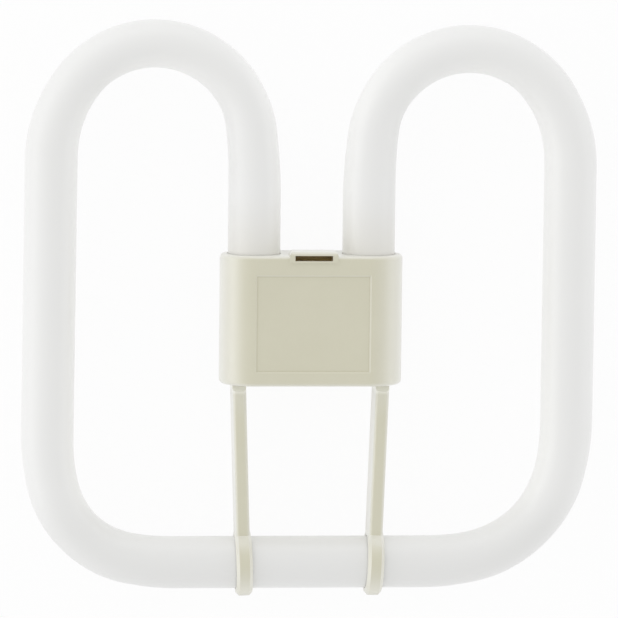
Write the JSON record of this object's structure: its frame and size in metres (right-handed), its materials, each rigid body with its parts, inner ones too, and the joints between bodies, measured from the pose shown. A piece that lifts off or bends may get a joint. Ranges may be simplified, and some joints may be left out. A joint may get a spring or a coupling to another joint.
{
  "type": "square compact fluorescent lamp",
  "caption": "Plug-in fluorescent lamp: a glass tube bent into two tall loops in one plane, with a cream cap between them, two clip arms and a recessed pin plug behind.",
  "frame": {"origin": "middle of the four contact pins, on the floor of the plug well", "axes": "+X across the lamp, +Y from the bottom run towards the two arches, +Z out of the lamp's front, away from the plug"},
  "size_m": [0.2054, 0.2066, 0.0329],
  "materials": {
    "coated_glass": "satin",
    "cap_plastic": "satin",
    "pin_brass": "satin",
    "tinned_wire": "satin",
    "capping_cement": "matte"
  },
  "bodies": {
    "root": {"discharge_tube": "coated_glass", "front_shell": "cap_plastic", "rear_cover": "cap_plastic", "contact_pin_1": "pin_brass", "contact_pin_2": "pin_brass", "contact_pin_3": "pin_brass", "contact_pin_4": "pin_brass", "lead_wire_1": "tinned_wire", "lead_wire_2": "tinned_wire", "lead_wire_3": "tinned_wire", "lead_wire_4": "tinned_wire", "end_cement_left": "capping_cement", "end_cement_right": "capping_cement"}
  },
  "joints": []
}
